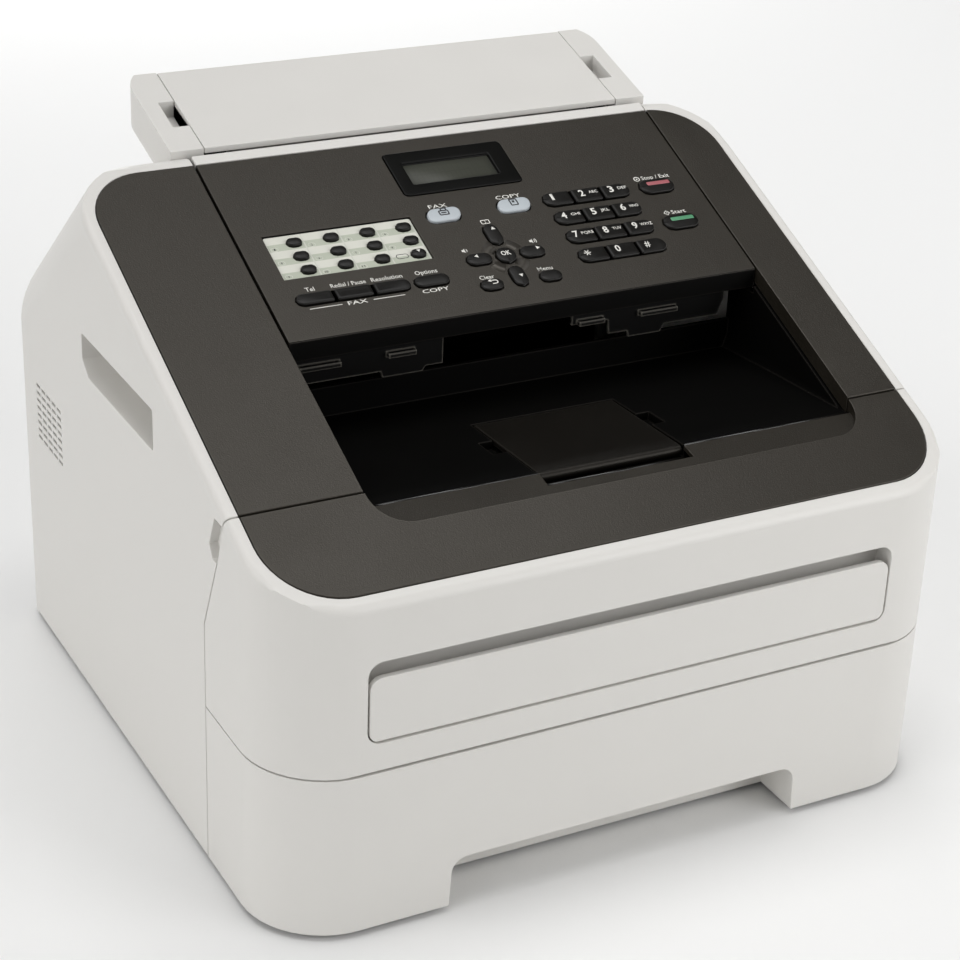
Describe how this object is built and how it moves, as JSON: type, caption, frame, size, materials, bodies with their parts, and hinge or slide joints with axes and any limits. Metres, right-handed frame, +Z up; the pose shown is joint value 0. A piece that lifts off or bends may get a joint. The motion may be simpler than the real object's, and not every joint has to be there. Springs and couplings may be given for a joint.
{
  "type": "fax machine",
  "caption": "Desktop laser fax machine with paper tray, output bin, lifting control panel with pressing keys, folding document flap, opening covers and spinning rollers.",
  "frame": {"origin": "on the surface that the feet stand on, under the middle of the bounding box", "axes": "+X to the user's right, +Y to the back, +Z up"},
  "size_m": [0.368, 0.36, 0.311],
  "materials": {
    "light_plastic": "fine textured",
    "black_plastic": "fine textured",
    "dark_key": "satin",
    "grey_key": "satin",
    "inner_black": "matt",
    "chassis_metal": "zinc plated",
    "roller_rubber": "ground rubber",
    "screen_gloss": "glossy",
    "label_sheet": "satin card",
    "circuit_board": "lacquered"
  },
  "bodies": {
    "housing": {"base_frame": "chassis_metal", "left_side_cover": "light_plastic", "right_side_cover": "light_plastic", "rear_frame_cover": "light_plastic", "socket_panel": "inner_black", "left_top_cover": "black_plastic", "right_top_cover": "black_plastic", "output_bin": "inner_black", "scanner_bed": "inner_black", "document_tray": "light_plastic", "toner_cartridge": "inner_black", "drum_unit": "black_plastic", "fuser_unit": "chassis_metal", "main_board": "circuit_board"},
    "paper_tray": {"paper_tray_front": "light_plastic", "paper_tray": "inner_black"},
    "lift_plate": {"lift_plate": "chassis_metal"},
    "front_cover": {"front_cover": "light_plastic", "front_top_trim": "black_plastic"},
    "manual_feed_flap": {"manual_feed_flap": "light_plastic"},
    "rear_cover": {"rear_cover": "light_plastic"},
    "control_panel": {"control_panel": "black_plastic", "panel_rear_strip": "light_plastic", "screen_window": "screen_gloss", "one_touch_plate": "label_sheet", "document_exit_guide": "inner_black"},
    "document_flap": {"document_flap": "light_plastic"},
    "document_guide_left": {"document_guide_left": "black_plastic"},
    "document_guide_right": {"document_guide_right": "black_plastic"},
    "output_stop_flap": {"output_stop_flap": "black_plastic"},
    "pickup_roller": {"pickup_roller": "roller_rubber"},
    "document_feed_roller": {"document_feed_roller": "roller_rubber"},
    "one_touch_keypad": {"one_touch_keypad": "dark_key"},
    "key_1": {"key_1": "dark_key"},
    "key_2": {"key_2": "dark_key"},
    "key_3": {"key_3": "dark_key"},
    "key_4": {"key_4": "dark_key"},
    "key_5": {"key_5": "dark_key"},
    "key_6": {"key_6": "dark_key"},
    "key_7": {"key_7": "dark_key"},
    "key_8": {"key_8": "dark_key"},
    "key_9": {"key_9": "dark_key"},
    "key_star": {"key_star": "dark_key"},
    "key_0": {"key_0": "dark_key"},
    "key_hash": {"key_hash": "dark_key"},
    "key_tel": {"key_tel": "dark_key"},
    "key_redial": {"key_redial": "dark_key"},
    "key_resolution": {"key_resolution": "dark_key"},
    "key_options": {"key_options": "dark_key"},
    "key_fax": {"key_fax": "grey_key"},
    "key_copy": {"key_copy": "grey_key"},
    "key_up": {"key_up": "dark_key"},
    "key_down": {"key_down": "dark_key"},
    "key_left": {"key_left": "dark_key"},
    "key_right": {"key_right": "dark_key"},
    "key_ok": {"key_ok": "dark_key"},
    "key_clear": {"key_clear": "dark_key"},
    "key_menu": {"key_menu": "dark_key"},
    "key_stop": {"key_stop": "dark_key"},
    "key_start": {"key_start": "dark_key"}
  },
  "joints": [
    {"name": "paper_tray_slide", "type": "slide", "parent": "housing", "child": "paper_tray", "axis": [0, -1, 0], "range_m": [0, 0.25]},
    {"name": "front_cover_hinge", "type": "hinge", "parent": "housing", "child": "front_cover", "pos_m": [0, -0.1769, 0.0912], "axis": [1, 0, 0], "range_deg": [0, 80]},
    {"name": "control_panel_hinge", "type": "hinge", "parent": "housing", "child": "control_panel", "pos_m": [0, 0.0845, 0.2815], "axis": [-1, 0, 0], "range_deg": [0, 45]},
    {"name": "rear_cover_hinge", "type": "hinge", "parent": "housing", "child": "rear_cover", "pos_m": [0, 0.1706, 0.0374], "axis": [-1, 0, 0], "range_deg": [0, 75]},
    {"name": "manual_feed_flap_hinge", "type": "hinge", "parent": "front_cover", "child": "manual_feed_flap", "pos_m": [0, -0.1774, 0.1093], "axis": [1, 0, 0], "range_deg": [0, 85]},
    {"name": "document_flap_hinge", "type": "hinge", "parent": "housing", "child": "document_flap", "pos_m": [0, 0.1602, 0.3086], "axis": [-1, 0, 0], "range_deg": [0, 140]},
    {"name": "output_stop_flap_hinge", "type": "hinge", "parent": "housing", "child": "output_stop_flap", "pos_m": [0, -0.1226, 0.1876], "axis": [1, 0, 0], "range_deg": [0, 140]},
    {"name": "document_guide_left_slide", "type": "slide", "parent": "housing", "child": "document_guide_left", "axis": [1, 0, 0], "range_m": [0, 0.034]},
    {"name": "document_guide_right_slide", "type": "slide", "parent": "housing", "child": "document_guide_right", "axis": [1, 0, 0], "range_m": [-0.034, 0]},
    {"name": "lift_plate_hinge", "type": "hinge", "parent": "paper_tray", "child": "lift_plate", "pos_m": [0, 0.02, 0.0121], "axis": [-1, 0, 0], "range_deg": [0, 8]},
    {"name": "pickup_roller_spin", "type": "hinge", "parent": "housing", "child": "pickup_roller", "pos_m": [0, -0.102, 0.082], "axis": [1, 0, 0], "continuous": true},
    {"name": "document_feed_roller_spin", "type": "hinge", "parent": "housing", "child": "document_feed_roller", "pos_m": [0, 0.068, 0.2634], "axis": [1, 0, 0], "continuous": true},
    {"name": "one_touch_keypad_press", "type": "slide", "parent": "control_panel", "child": "one_touch_keypad", "axis": [0, 0.395, -0.9187], "range_m": [0, 0.0008], "stiffness_N_per_m": 800},
    {"name": "key_1_press", "type": "slide", "parent": "control_panel", "child": "key_1", "axis": [0, 0.395, -0.9187], "range_m": [0, 0.0012], "stiffness_N_per_m": 500},
    {"name": "key_2_press", "type": "slide", "parent": "control_panel", "child": "key_2", "axis": [0, 0.395, -0.9187], "range_m": [0, 0.0012], "stiffness_N_per_m": 500},
    {"name": "key_3_press", "type": "slide", "parent": "control_panel", "child": "key_3", "axis": [0, 0.395, -0.9187], "range_m": [0, 0.0012], "stiffness_N_per_m": 500},
    {"name": "key_4_press", "type": "slide", "parent": "control_panel", "child": "key_4", "axis": [0, 0.395, -0.9187], "range_m": [0, 0.0012], "stiffness_N_per_m": 500},
    {"name": "key_5_press", "type": "slide", "parent": "control_panel", "child": "key_5", "axis": [0, 0.395, -0.9187], "range_m": [0, 0.0012], "stiffness_N_per_m": 500},
    {"name": "key_6_press", "type": "slide", "parent": "control_panel", "child": "key_6", "axis": [0, 0.395, -0.9187], "range_m": [0, 0.0012], "stiffness_N_per_m": 500},
    {"name": "key_7_press", "type": "slide", "parent": "control_panel", "child": "key_7", "axis": [0, 0.395, -0.9187], "range_m": [0, 0.0012], "stiffness_N_per_m": 500},
    {"name": "key_8_press", "type": "slide", "parent": "control_panel", "child": "key_8", "axis": [0, 0.395, -0.9187], "range_m": [0, 0.0012], "stiffness_N_per_m": 500},
    {"name": "key_9_press", "type": "slide", "parent": "control_panel", "child": "key_9", "axis": [0, 0.395, -0.9187], "range_m": [0, 0.0012], "stiffness_N_per_m": 500},
    {"name": "key_star_press", "type": "slide", "parent": "control_panel", "child": "key_star", "axis": [0, 0.395, -0.9187], "range_m": [0, 0.0012], "stiffness_N_per_m": 500},
    {"name": "key_0_press", "type": "slide", "parent": "control_panel", "child": "key_0", "axis": [0, 0.395, -0.9187], "range_m": [0, 0.0012], "stiffness_N_per_m": 500},
    {"name": "key_hash_press", "type": "slide", "parent": "control_panel", "child": "key_hash", "axis": [0, 0.395, -0.9187], "range_m": [0, 0.0012], "stiffness_N_per_m": 500},
    {"name": "key_tel_press", "type": "slide", "parent": "control_panel", "child": "key_tel", "axis": [0, 0.395, -0.9187], "range_m": [0, 0.0012], "stiffness_N_per_m": 500},
    {"name": "key_redial_press", "type": "slide", "parent": "control_panel", "child": "key_redial", "axis": [0, 0.395, -0.9187], "range_m": [0, 0.0012], "stiffness_N_per_m": 500},
    {"name": "key_resolution_press", "type": "slide", "parent": "control_panel", "child": "key_resolution", "axis": [0, 0.395, -0.9187], "range_m": [0, 0.0012], "stiffness_N_per_m": 500},
    {"name": "key_options_press", "type": "slide", "parent": "control_panel", "child": "key_options", "axis": [0, 0.395, -0.9187], "range_m": [0, 0.0012], "stiffness_N_per_m": 500},
    {"name": "key_fax_press", "type": "slide", "parent": "control_panel", "child": "key_fax", "axis": [0, 0.395, -0.9187], "range_m": [0, 0.0012], "stiffness_N_per_m": 500},
    {"name": "key_copy_press", "type": "slide", "parent": "control_panel", "child": "key_copy", "axis": [0, 0.395, -0.9187], "range_m": [0, 0.0012], "stiffness_N_per_m": 500},
    {"name": "key_up_press", "type": "slide", "parent": "control_panel", "child": "key_up", "axis": [0, 0.395, -0.9187], "range_m": [0, 0.0012], "stiffness_N_per_m": 500},
    {"name": "key_down_press", "type": "slide", "parent": "control_panel", "child": "key_down", "axis": [0, 0.395, -0.9187], "range_m": [0, 0.0012], "stiffness_N_per_m": 500},
    {"name": "key_left_press", "type": "slide", "parent": "control_panel", "child": "key_left", "axis": [0, 0.395, -0.9187], "range_m": [0, 0.0012], "stiffness_N_per_m": 500},
    {"name": "key_right_press", "type": "slide", "parent": "control_panel", "child": "key_right", "axis": [0, 0.395, -0.9187], "range_m": [0, 0.0012], "stiffness_N_per_m": 500},
    {"name": "key_ok_press", "type": "slide", "parent": "control_panel", "child": "key_ok", "axis": [0, 0.395, -0.9187], "range_m": [0, 0.0012], "stiffness_N_per_m": 500},
    {"name": "key_clear_press", "type": "slide", "parent": "control_panel", "child": "key_clear", "axis": [0, 0.395, -0.9187], "range_m": [0, 0.0012], "stiffness_N_per_m": 500},
    {"name": "key_menu_press", "type": "slide", "parent": "control_panel", "child": "key_menu", "axis": [0, 0.395, -0.9187], "range_m": [0, 0.0012], "stiffness_N_per_m": 500},
    {"name": "key_stop_press", "type": "slide", "parent": "control_panel", "child": "key_stop", "axis": [0, 0.395, -0.9187], "range_m": [0, 0.0012], "stiffness_N_per_m": 500},
    {"name": "key_start_press", "type": "slide", "parent": "control_panel", "child": "key_start", "axis": [0, 0.395, -0.9187], "range_m": [0, 0.0012], "stiffness_N_per_m": 500}
  ],
  "couplings": [
    {"joint": "document_guide_right_slide", "follows": "document_guide_left_slide", "ratio": -1}
  ]
}
